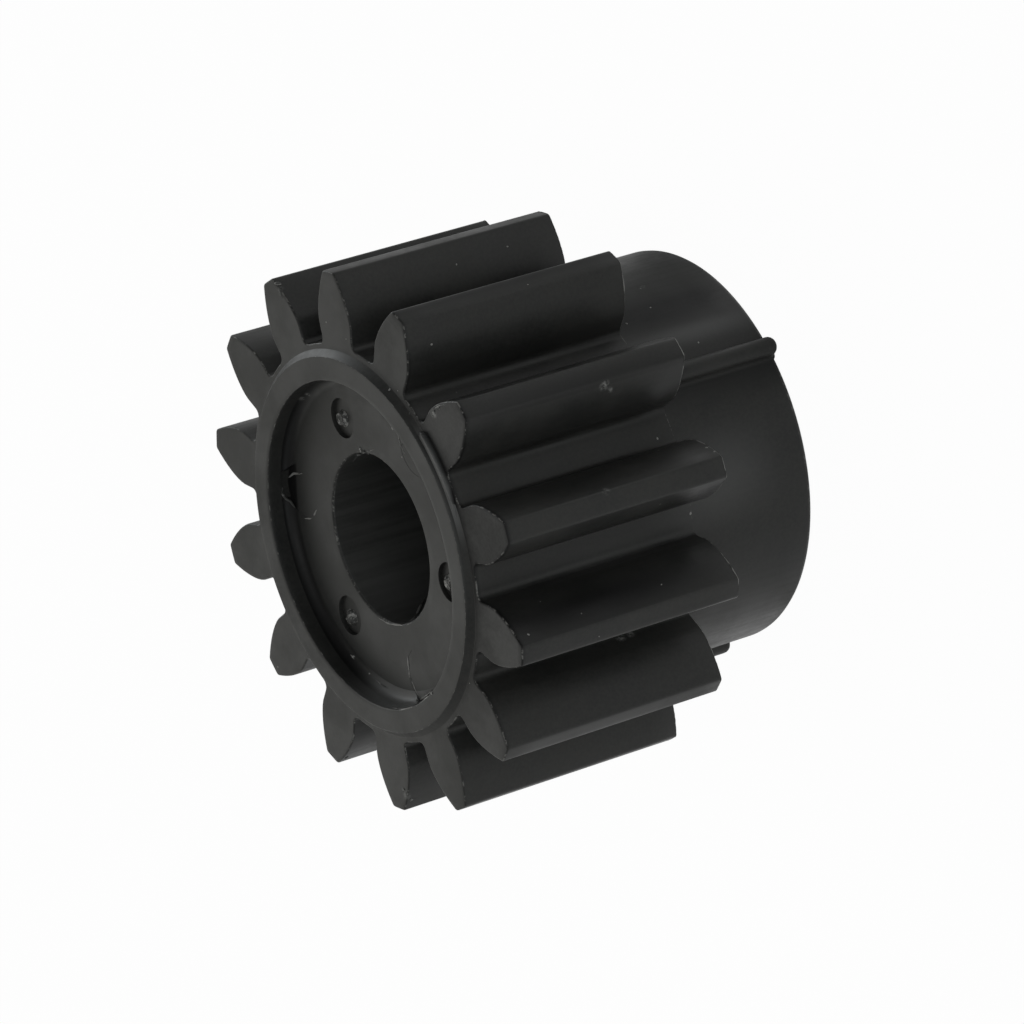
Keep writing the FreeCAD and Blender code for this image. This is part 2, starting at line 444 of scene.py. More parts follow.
def newPiece(name, mesh):
    piece = bpy.data.objects.new(name, mesh)
    bpy.context.scene.collection.objects.link(piece)
    return piece


def settle(piece):
    # Turns the evaluated result into a plain mesh and drops the modifiers
    evaluated = piece.evaluated_get(bpy.context.evaluated_depsgraph_get())
    mesh = bpy.data.meshes.new_from_object(evaluated)
    piece.modifiers.clear()
    piece.data = mesh
    pointOutwards(mesh)


def pointOutwards(mesh):
    shell = bmesh.new()
    shell.from_mesh(mesh)
    bmesh.ops.dissolve_degenerate(shell, dist=1e-7, edges=shell.edges)
    bmesh.ops.recalc_face_normals(shell, faces=shell.faces)
    for edge in shell.edges:
        if edge.is_manifold and edge.calc_face_angle() > math.radians(gear["crispAngle"]):
            edge.smooth = False
    open_ = sum(1 for e in shell.edges if not e.is_manifold)
    shell.to_mesh(mesh)
    triangles = sum(len(f.verts) - 2 for f in shell.faces)
    shell.free()
    print("mesh", mesh.name, "triangles", triangles, "open edges", open_)


# Shader groups: each gives masks, values or a height that change over the surface
def newGroup(name, inputs, outputs):
    tree = bpy.data.node_groups.new(name, "ShaderNodeTree")
    for label, value in inputs:
        kind = "NodeSocketVector" if isinstance(value, tuple) else "NodeSocketFloat"
        tree.interface.new_socket(label, in_out="INPUT", socket_type=kind).default_value = value
    for label in outputs:
        tree.interface.new_socket(label, in_out="OUTPUT", socket_type="NodeSocketFloat")
    place = addNode(tree, "ShaderNodeTexCoord").outputs["Object"]
    return tree, tree.nodes.new("NodeGroupInput").outputs, tree.nodes.new("NodeGroupOutput").inputs, place


def noiseAt(tree, place, scale, detail=2.0, roughness=0.5, shift=0.0):
    return addNode(tree, "ShaderNodeTexNoise", {
        "Vector": vectorNode(tree, "ADD", place, (shift, shift * 0.7, shift * 1.3)),
        "Scale": scale,
        "Detail": detail,
        "Roughness": roughness,
    }).outputs[0]


def rampFrom(tree, value, low, high):
    links = {"Value": value, "From Min": low, "From Max": high}
    return addNode(tree, "ShaderNodeMapRange", links, interpolation_type="SMOOTHSTEP").outputs[0]


def offAxis(tree, place):                # the distance from the bore's axis
    return vectorNode(tree, "LENGTH", vectorNode(tree, "MULTIPLY", place, (1.0, 1.0, 0.0)))


def nearAzimuth(tree, axes, azimuth, halfWidth):
    # 1 at an azimuth about the bore's axis, fading to 0 at half the width from it
    turn = mathNode(tree, "SUBTRACT", mathNode(tree, "ARCTAN2", axes[1], axes[0]), azimuth)
    off = mathNode(tree, "ABSOLUTE", mathNode(tree, "WRAP", turn, math.pi, -math.pi))
    return rampFrom(tree, off, halfWidth, 0.0)


def mouldedSkin():
    # Fine grain and slow waviness of the skin, cloudy patches of gloss, and faint lines drawn along the axis
    tree, given, result, place = newGroup("mouldedSkin", [
        ("Grain Scale", 6000.0),
        ("Grain Height", 0.45),
        ("Wave Scale", 420.0),
        ("Patch Scale", 260.0),
        ("Line Scale", 3600.0),
        ("Line Stretch", 0.045),
    ], ["Height", "Patches", "Grain", "Lines"])
    grain = noiseAt(tree, place, given["Grain Scale"], 3.0, 0.65)
    wave = noiseAt(tree, place, given["Wave Scale"], 1.5)
    patches = noiseAt(tree, place, given["Patch Scale"], 4.0, 0.62, 0.4)
    squash = addNode(tree, "ShaderNodeCombineXYZ", {"X": 1.0, "Y": 1.0, "Z": given["Line Stretch"]})
    along = vectorNode(tree, "MULTIPLY", place, squash.outputs[0])
    lines = noiseAt(tree, along, given["Line Scale"], 2.0, 0.6, 0.2)
    tree.links.new(mathNode(tree, "MULTIPLY_ADD", grain, given["Grain Height"], wave), result["Height"])
    tree.links.new(rampFrom(tree, patches, 0.36, 0.66), result["Patches"])
    tree.links.new(rampFrom(tree, grain, 0.3, 0.7), result["Grain"])
    tree.links.new(rampFrom(tree, lines, 0.35, 0.7), result["Lines"])
    return tree


def edgeWear():
    # Thin broken wear along the roundings that the edgeMask attribute marks
    tree, given, result, place = newGroup("edgeWear", [
        ("Break Scale", 2600.0),
        ("Threshold", 0.5),
        ("Softness", 0.15),
    ], ["Mask"])
    edge = addNode(tree, "ShaderNodeAttribute", attribute_name="edgeMask").outputs["Fac"]
    onEdge = rampFrom(tree, edge, 0.3, 0.95)
    breaks = noiseAt(tree, place, given["Break Scale"], 3.0, 0.75, 0.9)
    top = mathNode(tree, "ADD", given["Threshold"], given["Softness"])
    mask = mathNode(tree, "MULTIPLY", onEdge, rampFrom(tree, breaks, given["Threshold"], top))
    tree.links.new(mask, result["Mask"])
    return tree


def paleFlecks():
    # Sparse pale dots of uneven size
    tree, given, result, place = newGroup("paleFlecks", [
        ("Cell Scale", 1100.0),
        ("Dot Size", 0.05),
        ("Share", 0.25),
    ], ["Mask"])
    cells = addNode(tree, "ShaderNodeTexVoronoi", {"Vector": place, "Scale": given["Cell Scale"]})
    tint = addNode(tree, "ShaderNodeSeparateColor", {0: cells.outputs["Color"]}).outputs
    chosen = mathNode(tree, "LESS_THAN", tint[0], given["Share"])
    size = mathNode(tree, "MULTIPLY", given["Dot Size"], mathNode(tree, "ADD", tint[1], 0.25))
    dot = mathNode(tree, "LESS_THAN", cells.outputs["Distance"], size)
    tree.links.new(mathNode(tree, "MULTIPLY", dot, chosen), result["Mask"])
    return tree


def rubbedSpot():
    # A soft round spot about one place
    tree, given, result, place = newGroup("rubbedSpot", [
        ("Place", (0.0, 0.0, 0.0)),
        ("Reach", 0.0002),
        ("Strength", 1.0),
    ], ["Mask"])
    soft = rampFrom(tree, vectorNode(tree, "DISTANCE", place, given["Place"]), given["Reach"], 0.0)
    tree.links.new(mathNode(tree, "MULTIPLY", soft, given["Strength"]), result["Mask"])
    return tree


def softTone():
    # A soft area where light and shade are painted into the colour, given by azimuth, height and a span of
    # radii about the axis
    tree, given, result, place = newGroup("softTone", [
        ("Azimuth", 0.0),
        ("Half Width", 0.2),
        ("Height", 0.003),
        ("Reach", 0.005),
        ("Inner", 0.0),
        ("Outer", 0.02),
        ("Feather", 0.00001),
        ("Amount", 1.0),
    ], ["Mask"])
    axes = addNode(tree, "ShaderNodeSeparateXYZ", {0: place}).outputs
    across = nearAzimuth(tree, axes, given["Azimuth"], given["Half Width"])
    above = mathNode(tree, "SUBTRACT", axes[2], given["Height"])
    along = rampFrom(tree, mathNode(tree, "ABSOLUTE", above), given["Reach"], 0.0)
    radius = offAxis(tree, place)
    feathered = mathNode(tree, "ADD", given["Inner"], given["Feather"])
    inside = mathNode(tree, "MULTIPLY", rampFrom(tree, radius, given["Inner"], feathered),
                      mathNode(tree, "LESS_THAN", radius, given["Outer"]))
    soft = mathNode(tree, "MULTIPLY", mathNode(tree, "MULTIPLY", across, along), inside)
    product = {0: soft, 1: given["Amount"]}
    mask = addNode(tree, "ShaderNodeMath", product, operation="MULTIPLY", use_clamp=True)
    tree.links.new(mask.outputs[0], result["Mask"])
    return tree


def groupIn(tree, group, values):
    node = tree.nodes.new("ShaderNodeGroup")
    node.node_tree = group
    for label, value in values.items():
        node.inputs[label].default_value = value
    return node.outputs


def blend(tree, amount, first, second):     # colours or sockets, mixed by a mask
    node = addNode(tree, "ShaderNodeMix", data_type="RGBA")
    sockets = (node.inputs["Factor"], node.inputs[6], node.inputs[7])
    for socket, source in zip(sockets, (amount, first, second)):
        if isinstance(source, bpy.types.NodeSocket):
            tree.links.new(source, socket)
        else:
            socket.default_value = source
    return node.outputs[2]


# the last group made here paints light and shade into the colour, by area
skin, wear, flecks, rubbed, paintedShadeGroup = mouldedSkin(), edgeWear(), paleFlecks(), rubbedSpot(), softTone()

blackPlastic = {
    "colour": (0.0135, 0.0137, 0.0132, 1),
    "cloudy": (0.025, 0.0247, 0.0227, 1),
    "worn": (0.11, 0.108, 0.102, 1),
    "fleck": (0.16, 0.155, 0.145, 1),
    "rubbed": (0.19, 0.19, 0.18, 1),
    "borePaintedLight": (0.045, 0.045, 0.043, 1),
    # colours of painted light and painted shade, laid on where the table of areas below puts them
    "lightened": (0.09, 0.09, 0.088, 1),
    "deepened": (0.003, 0.003, 0.003, 1),
    "roughness": 0.33,
    "patchRoughness": 0.13,
    "grainRoughness": 0.06,
    "lineRoughness": 0.045,
    "faceRoughness": 0.1,       # the faces square to the axis are duller than the drawn flanks
    "faceSlope": (0.9, 0.99),   # how far up a face has to look for that
    "boreShare": 0.3,           # of the bore's lighter colour, painted light that brightens the shaded bore, more of it along the drawn lines
    "boreLines": 0.35,
    "specular": 0.3,
    "bump": 0.4,
    "bumpDistance": 0.000014,
    "rubBreakScale": 5200.0,
    "rubBreak": (0.4, 0.62),
}

tornPlastic = {
    "colour": (0.035, 0.035, 0.033, 1),
    "stressed": (0.2, 0.197, 0.188, 1),
    "roughness": 0.38,
    "patchRoughness": 0.2,
    "grainScale": 7000.0,
    "grainHeight": 1.0,
    "softness": 0.12,
    "specular": 0.35,
    "bump": 0.6,
    "bumpDistance": 0.00002,
}
acetalIor = 1.48

# Painted light (above 0) and painted shade (below 0) in the colour, standing in for reflection bands and
# shadows, in degrees and millimetres:
# azimuth, half width, height, reach, inner and outer radius, feather at the inner one, amount
paintedLightAndShade = {
    "hubStrip": (12, 5.5, 3.4, 6.5, 8.8, 9.0, 0.01, 0.5),
    "hubAboveStrip": (22, 10, 3.2, 9, 8.8, 9.0, 0.01, -1.2),
    "hubBelowRib": (-5, 9, 3.4, 9, 8.8, 9.0, 0.01, -0.6),
    "hubLow": (-30, 18, 5.0, 4.5, 8.8, 9.0, 0.01, 0.5),
    "hubHigh": (46, 12, 4.2, 3.4, 8.8, 9.0, 0.01, 0.3),
    "rightFaces": (-25, 90, 17.45, 0.25, 8.68, 12.2, 0.01, -1.0),
    "ringLeft": (175, 75, 17.75, 0.2, 7.31, 8.45, 0.01, -0.5),
    "ringRight": (-18, 50, 17.75, 0.1, 7.31, 8.45, 0.01, 0.3),
    # the darkest one: a painted shadow along the recess's wall and corner
    "recessCorner": (150, 85, 16.9, 1.2, 6.79, 7.298, 0.4, -3.0),
    "recessLow": (234, 30, 16.9, 1.4, 6.79, 7.36, 0.01, 1.6),
    "recessFloor": (-90, 250, 16.6, 0.1, 3.9, 6.79, 0.01, 0.15),
    "pinPocket": (131.5, 12, 16.58, 0.06, 6.79, 7.5, 0.01, -2.0),
    "boreLow": (-163, 40, 15, 5, 3.7, 3.82, 0.01, 0.3),
    "upperLand": (27.5, 4, 13, 9, 11.6, 12.2, 0.01, -0.9),
    "middleLand": (-1, 3.5, 12, 9, 11.9, 12.2, 0.01, -0.7),
    "lowFlank": (-47, 4, 13, 9, 9.4, 12.1, 0.01, -1.2),
    "middleFlankEnd": (-31, 4, 6.6, 3.5, 9.2, 12.1, 0.01, -1.2),
    "lowRoot": (-43, 6, 11, 6, 8.85, 9.6, 0.01, 0.15),
    "middleFlank": (-31, 3.5, 13, 5, 9.5, 12.1, 0.01, 0.08),
    "ledgeSide": (-9, 22, 17.55, 0.35, 8.47, 8.87, 0.01, 1.6),
}


def paintedAreaMasks(tree, sign):
    # All the areas of painted light together, or all those of painted shade
    total = 0.0
    for azimuth, halfWidth, height, reach, inner, outer, feather, amount in paintedLightAndShade.values():
        if amount * sign > 0:
            mask = groupIn(tree, paintedShadeGroup, {
                "Azimuth": math.radians(azimuth),
                "Half Width": math.radians(halfWidth),
                "Height": height * mm,
                "Reach": reach * mm,
                "Inner": inner * mm,
                "Outer": outer * mm,
                "Feather": feather * mm,
                "Amount": abs(amount),
            })["Mask"]
            total = mathNode(tree, "ADD", mask, total)
    return total


def dress(tree, colour, rough, height, look):
    # Colour, roughness and bump go into the material's own shader
    shader = tree.nodes["Principled BSDF"]
    tree.links.new(colour, shader.inputs["Base Color"])
    tree.links.new(rough, shader.inputs["Roughness"])
    bump = addNode(tree, "ShaderNodeBump", {
        "Strength": look["bump"],
        "Distance": look["bumpDistance"],
        "Height": height,
    })
    tree.links.new(bump.outputs[0], shader.inputs["Normal"])
    shader.inputs["Specular IOR Level"].default_value = look["specular"]
    shader.inputs["IOR"].default_value = acetalIor


def fillAcetal(material, spots):
    # The gear's own surface; spots are places rubbed pale, as (place, reach, strength)
    b = blackPlastic
    material.use_nodes = True
    tree = material.node_tree
    surface = groupIn(tree, skin, {})
    worn = groupIn(tree, wear, {})["Mask"]
    dots = groupIn(tree, flecks, {})["Mask"]
    rubs = 0.0
    for place, reach, strength in spots:
        spot = groupIn(tree, rubbed, {"Place": place, "Reach": reach, "Strength": strength})
        rubs = mathNode(tree, "ADD", spot["Mask"], rubs)
    where = addNode(tree, "ShaderNodeTexCoord").outputs["Object"]
    breaks = rampFrom(tree, noiseAt(tree, where, b["rubBreakScale"], 3.0, 0.7, 1.7), *b["rubBreak"])
    rubs = mathNode(tree, "MULTIPLY", rubs, breaks)
    normal = addNode(tree, "ShaderNodeNewGeometry").outputs["Normal"]
    upward = addNode(tree, "ShaderNodeSeparateXYZ", {0: normal}).outputs[2]
    onFace = rampFrom(tree, upward, *b["faceSlope"])
    halfPatches = mathNode(tree, "MULTIPLY", surface["Patches"], 0.5)
    cloud = mathNode(tree, "MULTIPLY_ADD", surface["Grain"], 0.5, halfPatches)
    # Inside the bore the colour is lighter: painted light that brightens the shaded bore, stronger along the
    # skin's drawn lines
    inBore = mathNode(tree, "LESS_THAN", offAxis(tree, where), (gear["boreRadius"] + 0.02) * mm)
    drawn = mathNode(tree, "MULTIPLY_ADD", surface["Lines"], b["boreLines"], b["boreShare"])
    boreLitMask = mathNode(tree, "MULTIPLY", inBore, drawn)
    colour = b["colour"]
    for mask, paint in (
        (cloud, "cloudy"),
        (boreLitMask, "borePaintedLight"),
        # painted light, then painted shade, from the table of areas
        (paintedAreaMasks(tree, 1), "lightened"),
        (paintedAreaMasks(tree, -1), "deepened"),
        (worn, "worn"),
        (dots, "fleck"),
        (rubs, "rubbed"),
    ):
        colour = blend(tree, mask, colour, b[paint])
    lines = mathNode(tree, "MULTIPLY", surface["Lines"], mathNode(tree, "SUBTRACT", 1.0, onFace))
    rough = b["roughness"]
    for mask, share in (
        (surface["Patches"], "patchRoughness"),
        (surface["Grain"], "grainRoughness"),
        (lines, "lineRoughness"),
        (onFace, "faceRoughness"),
    ):
        rough = mathNode(tree, "MULTIPLY_ADD", mask, b[share], rough)
    dress(tree, colour, rough, surface["Height"], b)


def tornAcetal(name, breakScale, threshold):
    # Acetal that was torn or folded: it whitens where it was stretched
    t = tornPlastic
    material = bpy.data.materials.new(name)
    material.use_nodes = True
    tree = material.node_tree
    surface = groupIn(tree, skin, {
        "Grain Scale": t["grainScale"],
        "Grain Height": t["grainHeight"],
        "Patch Scale": breakScale,
    })
    place = addNode(tree, "ShaderNodeTexCoord").outputs["Object"]
    breaks = noiseAt(tree, place, breakScale, 3.0, 0.7, 2.1)
    whitened = rampFrom(tree, breaks, threshold, threshold + t["softness"])
    colour = blend(tree, whitened, t["colour"], t["stressed"])
    rough = mathNode(tree, "MULTIPLY_ADD", surface["Patches"], t["patchRoughness"], t["roughness"])
    dress(tree, colour, rough, surface["Height"], t)
    return material


acetal = bpy.data.materials.new("blackAcetal")
tornStub = tornAcetal("tornStub", 3600.0, 0.47)
paleBurr = tornAcetal("paleBurr", 1300.0, 0.4)
dullFold = tornAcetal("dullFold", 1500.0, 0.6)
print("materials ready")

# The camera stands where the photo was taken; the small marks below are placed by the pixel they show at
cameraView = {
    "place": (207.428, -73.984, 137.031),
    "target": (-0.648, -0.351, 9.656),
    "roll": -106.951,
    "lens": 204.9,
}
cameraData = bpy.data.cameras.new("camera")
cameraData.lens = cameraView["lens"]
cameraData.sensor_width = 36
cameraData.clip_start = 0.01
camera = bpy.data.objects.new("camera", cameraData)
bpy.context.scene.collection.objects.link(camera)
place, target = Vector(cameraView["place"]) * mm, Vector(cameraView["target"]) * mm
look = (target - place).to_track_quat("-Z", "Y")
roll = Matrix.Rotation(math.radians(cameraView["roll"]), 4, "Z").to_quaternion()
camera.location = place
camera.rotation_mode = "QUATERNION"
camera.rotation_quaternion = look @ roll
bpy.context.scene.camera = camera
bpy.context.scene.view_settings.view_transform = "Standard"

around = repeatAround()
carve = cutRounds()
torn = tornSurface()

# Round marks in the recess floor: angle of the first, depth below the floor, reach of the cutter
marks = {
    "pin": {"pitch": 6.2, "radius": 1.25, "depth": 0.008, "angle": 11.5, "reach": 0.5},
    "gate": {"pitch": 5.45, "radius": 0.9, "depth": 0.22, "angle": 71.5, "reach": 0.72},
}
dimpleFloor = recessFloor - marks["gate"]["depth"]

body = newPiece("gearBody", sectorMesh())
useTree(body, around, {
    "Count": gear["teeth"],
    "Step Angle": 2 * math.pi / gear["teeth"],
    "Finish": acetal,
})
for mark in marks.values():
    useTree(body, carve, {
        "Count": 3,
        "First Angle": math.radians(mark["angle"]),
        "Pitch Radius": mark["pitch"] * mm,
        "Mark Radius": mark["radius"] * mm,
        "Bottom Height": (recessFloor - mark["depth"]) * mm,
        "Reach": mark["reach"] * mm,
        "Finish": acetal,
    })
settle(body)


def clearWear(mesh):
    # No worn edges in the recess, where the round marks were cut: past the bore's lip, below the ring's edge
    inner, outer = gear["boreRadius"] + 0.3, gear["recessRadius"] + 0.3
    low, high = gear["coreDepth"] + 0.4, ringFace - 0.2
    places = np.empty(len(mesh.vertices) * 3, np.float32)
    mesh.vertices.foreach_get("co", places)
    radius, height = np.hypot(places[0::3], places[1::3]) / mm, places[2::3] / mm
    mask = np.empty(len(mesh.vertices), np.float32)
    mesh.attributes["edgeMask"].data.foreach_get("value", mask)
    mask[(radius > inner) & (radius < outer) & (height > low) & (height < high)] = 0
    mesh.attributes["edgeMask"].data.foreach_set("value", mask)


clearWear(body.data)
print("gear body made")

weighted = body.modifiers.new("weightedNormals", "WEIGHTED_NORMAL")
weighted.keep_sharp = True
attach(body, "root")
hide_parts("spur_gear")

# Ribs along the hub
hubRib = {
    "count": 3,
    "firstAngle": -123.0,
    "stepAngle": 123.0,
    "width": 0.85,
    "height": 0.72,
    "footFlare": 0.16,
    "endRound": 0.34,
    "rootDepth": 0.5,      # how far a rib reaches into the hub and into the teeth's rear
    "rowLength": 0.5,
}


def ribAcross(half, height):
    # Foot, side and round crest from one side to the other, as (outward, sideways) points above the hub
    flare = hubRib["footFlare"]
    side = [(-hubRib["rootDepth"], half + flare)]
    for a in np.linspace(0, math.pi / 2, 5):
        side.append((flare * (1 - math.cos(a)), half + flare * (1 - math.sin(a))))
    crest = [(height - half + half * math.sin(a), half * math.cos(a)) for a in np.linspace(0, math.pi, 13)]
    return side + crest + [(out, -across) for out, across in side[::-1]]


def ribMesh():
    half, height, end = hubRib["width"] / 2, hubRib["height"], hubRib["endRound"]
    back = gear["hubLength"] + hubRib["rootDepth"]
    stations = [(z, 0.0) for z in np.arange(back, end, -hubRib["rowLength"])]
    stations += [(end * (1 - math.sin(a)), end * (1 - math.cos(a))) for a in np.linspace(0, math.pi / 2, 7)]
    vertices = []
    for z, inset in stations:
        for out, across in ribAcross(half - inset, height - inset):
            onHub = math.sqrt(rootRadius ** 2 - across ** 2)
            vertices.append((Vector((onHub + out, across, z)) * mm)[:])
    wide = len(ribAcross(half, height))
    faces = bandFaces(len(stations), wide)
    faces.append(tuple(range(wide))[::-1])
    faces.append(tuple(range(len(vertices) - wide, len(vertices))))
    return meshOf("hubRib", vertices, faces=faces)


ribs = newPiece("hubRibs", ribMesh())
useTree(ribs, around, {
    "Count": hubRib["count"],
    "First Angle": math.radians(hubRib["firstAngle"]),
    "Step Angle": math.radians(hubRib["stepAngle"]),
    "Weld Distance": 0.0,
    "Finish": acetal,
})
settle(ribs)
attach(ribs, "root")
print("hub ribs made")

# Torn gate stubs in their dimples
gateStub = {
    "radius": 0.42,
    "height": 0.26,
    "places": [(74.6, 5.45), (191.4, 5.7), (309.6, 5.15)],     # angle and radius of each, not quite central
    "sunk": 0.03,          # how far the foot reaches below the dimple's floor
    "steepness": 2.2,      # of the dome's side
    "slump": 0.25,         # how much of the height is lost towards the middle
    "middleHeight": 0.8,
    "rings": 9,
    "sides": 30,
    "roughness": 0.3,
    "scale": 3200.0,
}


def stubMesh():
    # Domes with a crumbled top
    g = gateStub
    foot = dimpleFloor - g["sunk"]
    vertices, faces = [], []
    for angle, pitch in g["places"]:
        centre = polar(pitch, math.radians(angle))
        first = len(vertices)
        for i in range(g["rings"]):
            t = i / g["rings"]
            height = g["height"] * min(1, g["steepness"] * t) * (1 - g["slump"] * t)
            for k in range(g["sides"]):
                flat = centre + polar(g["radius"] * (1 - t), 2 * math.pi * k / g["sides"])
                vertices.append((flat[0] * mm, flat[1] * mm, (foot + height) * mm))
        top = len(vertices)
        vertices.append((centre[0] * mm, centre[1] * mm, (foot + g["height"] * g["middleHeight"]) * mm))
        faces += bandFaces(g["rings"], g["sides"], first)
        last = top - g["sides"]
        faces += [(last + k, last + (k + 1) % g["sides"], top) for k in range(g["sides"])]
        faces.append(tuple(range(first, first + g["sides"]))[::-1])
    return meshOf("gateStubs", vertices, faces=faces)


stubs = newPiece("gateStubs", stubMesh())
useTree(stubs, torn, {
    "Roughness": gateStub["roughness"] * mm,
    "Scale": gateStub["scale"],
    "Seed": 2.0,
    "Base Height": (dimpleFloor - gateStub["sunk"]) * mm,
    "Rise": 0.12 * mm,
    "Finish": tornStub,
})
settle(stubs)
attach(stubs, "root")
print("gate stubs made")

# Nicks, specks and burrs, each put on the surface behind its pixel
photoSize = 1024
shell = BVHTree.FromObject(body, bpy.context.evaluated_depsgraph_get())


def onSurface(x, y):
    # Place and normal of the gear's surface at a pixel's middle
    across = cameraData.sensor_width / cameraData.lens / photoSize
    aim = Vector(((x + 0.5 - photoSize / 2) * across, (photoSize / 2 - y - 0.5) * across, -1))
    return shell.ray_cast(camera.location, camera.rotation_quaternion @ aim.normalized())[:2]


specks = {             # pixel x, pixel y, size in millimetres
    "hubTopSpeck": (640, 288, 0.04),
    "hubUpperSpeck": (650, 307, 0.035),
    "hubNearToothSpeck": (626, 323, 0.045),
    "hubMiddleSpeck": (698, 342, 0.035),
    "hubSideSpeck": (657, 438, 0.045),
    "hubSideSpeckTwo": (658, 450, 0.03),
    "landSpeck": (605, 489, 0.04),
    "rearSpeck": (690, 513, 0.055),
    "flankSpeck": (507, 246, 0.035),
    "flankSpeckTwo": (456, 264, 0.035),
    "flankSpeckFour": (431, 344, 0.045),
    "flankSpeckFive": (456, 392, 0.03),
    "lowerFlankSpeck": (528, 634, 0.045),
    "lowerFlankSpeckTwo": (661, 584, 0.03),
    "lowerFlankSpeckThree": (581, 613, 0.03),
    "gapSpeck": (389, 389, 0.045),
    "ringSpeck": (409, 413, 0.035),
    "toothEndSpeck": (706, 447, 0.05),
    "toothEndSpeckTwo": (714, 451, 0.045),
    "lipSpeck": (392, 428, 0.06),
    "faceSpeck": (353, 656, 0.045),
    "faceSpeckTwo": (369, 673, 0.035),
}

chips = {              # torn lumps
    "toothCornerChip": (433, 412, 0.09),
    "toothCornerChipTwo": (438, 408, 0.08),
    "tipChip": (277, 283, 0.1),
    "tipChipTwo": (280, 289, 0.09),
    "tipChipThree": (281, 295, 0.07),
    "lowToothBurr": (403, 789, 0.08),
    "lowToothBurrTwo": (411, 799, 0.08),
    "leftToothFlake": (346, 757, 0.08),
    "boreBurr": (360, 449, 0.11),
    "boreBurrTwo": (365, 452, 0.09),
    "boreBurrThree": (357, 454, 0.07),
    "ringChip": (425, 697, 0.1),
    "ringChipTwo": (418, 700, 0.09),
    "lipChip": (431, 692, 0.08),
    "stubFlake": (449, 580, 0.1),
    "stubFlakeTwo": (447, 588, 0.06),
    "gateFlake": (341, 414, 0.08),
    "gateFlakeTwo": (345, 422, 0.07),
    "lowGateFlake": (350, 614, 0.09),
    "lowGateFlakeTwo": (353, 621, 0.07),
}

rubs = {               # places rubbed pale: pixel x, pixel y, reach in millimetres, strength
    "landRub": (604, 385, 0.34, 1.0),
    "landRubTail": (610, 389, 0.24, 0.7),
    "lowLandRub": (620, 637, 0.32, 1.0),
    "lowLandRubTail": (630, 634, 0.24, 0.9),
    "middleLandRub": (605, 490, 0.28, 0.5),
    "recessWallRub": (301, 398, 0.2, 0.9),
    "recessWallRubTail": (307, 394, 0.2, 0.8),
    "toothCornerRub": (433, 413, 0.3, 0.9),
    "toothTipRub": (279, 290, 0.3, 0.5),
    "lowTipRub": (405, 795, 0.35, 0.4),
    "gapEndRub": (620, 350, 0.3, 0.35),
    "hubRub": (643, 286, 0.2, 0.4),
    "lipRub": (424, 697, 0.4, 0.6),
}

threads = {            # raised hair lines, as the pixels they run through
    "upperPinLine": [(397, 432), (400, 445), (405, 455)],
    "lipLine": [(375, 679), (381, 684), (388, 688)],
    "lipLineTwo": [(350, 654), (354, 659)],
    "hubScratch": [(752, 361), (760, 363)],
    "hubScratchTwo": [(733, 365), (742, 362)],
    "boreLipUpper": [(352, 462), (358, 455), (366, 451), (374, 449)],
    "recessLip": [(392, 707), (402, 709), (414, 706)],
    "tornLipTwo": [(416, 705), (423, 700), (430, 694)],
    "toothCornerLine": [(434, 408), (439, 405), (445, 404)],
}

ridges = {             # thicker ones
    "cornerLineUpper": [(288, 477), (293, 473), (302, 473)],
    "floorLine": [(304, 518), (311, 518), (314, 514), (316, 509)],
    "pinLine": [(407, 656), (409, 675), (414, 687), (418, 696)],
    "boreLip": [(377, 617), (388, 623), (402, 625), (414, 618), (424, 597)],
    "tornLip": [(414, 703), (420, 699), (427, 695), (433, 689)],
}

folds = {              # grey ones that stand at the pushing pin's mark
    "cornerFold": [(282, 486), (281, 492), (285, 498), (290, 501), (295, 508)],
}


def placedPoints(places):
    found = [onSurface(x, y) for x, y, size in places.values()]
    mesh = meshOf("placedPoints", [tuple(place) for place, normal in found])
    lie = mesh.attributes.new("lie", "FLOAT_VECTOR", "POINT")
    lie.data.foreach_set("vector", np.array([tuple(normal) for place, normal in found], np.float32).ravel())
    reach = mesh.attributes.new("reach", "FLOAT", "POINT")
    reach.data.foreach_set("value", np.array([size * mm for x, y, size in places.values()], np.float32))
    return mesh


def placedLines(lines):
    vertices, edges = [], []
    for pixels in lines.values():
        first = len(vertices)
        vertices += [tuple(onSurface(x, y)[0]) for x, y in pixels]
        edges += [(i, i + 1) for i in range(first, len(vertices) - 1)]
    return meshOf("placedLines", vertices, edges)


def named(tree, name, kind):
    node = addNode(tree, "GeometryNodeInputNamedAttribute", {"Name": name}, data_type=kind)
    return [o for o in node.outputs if o.enabled and o.name == "Attribute"][0]


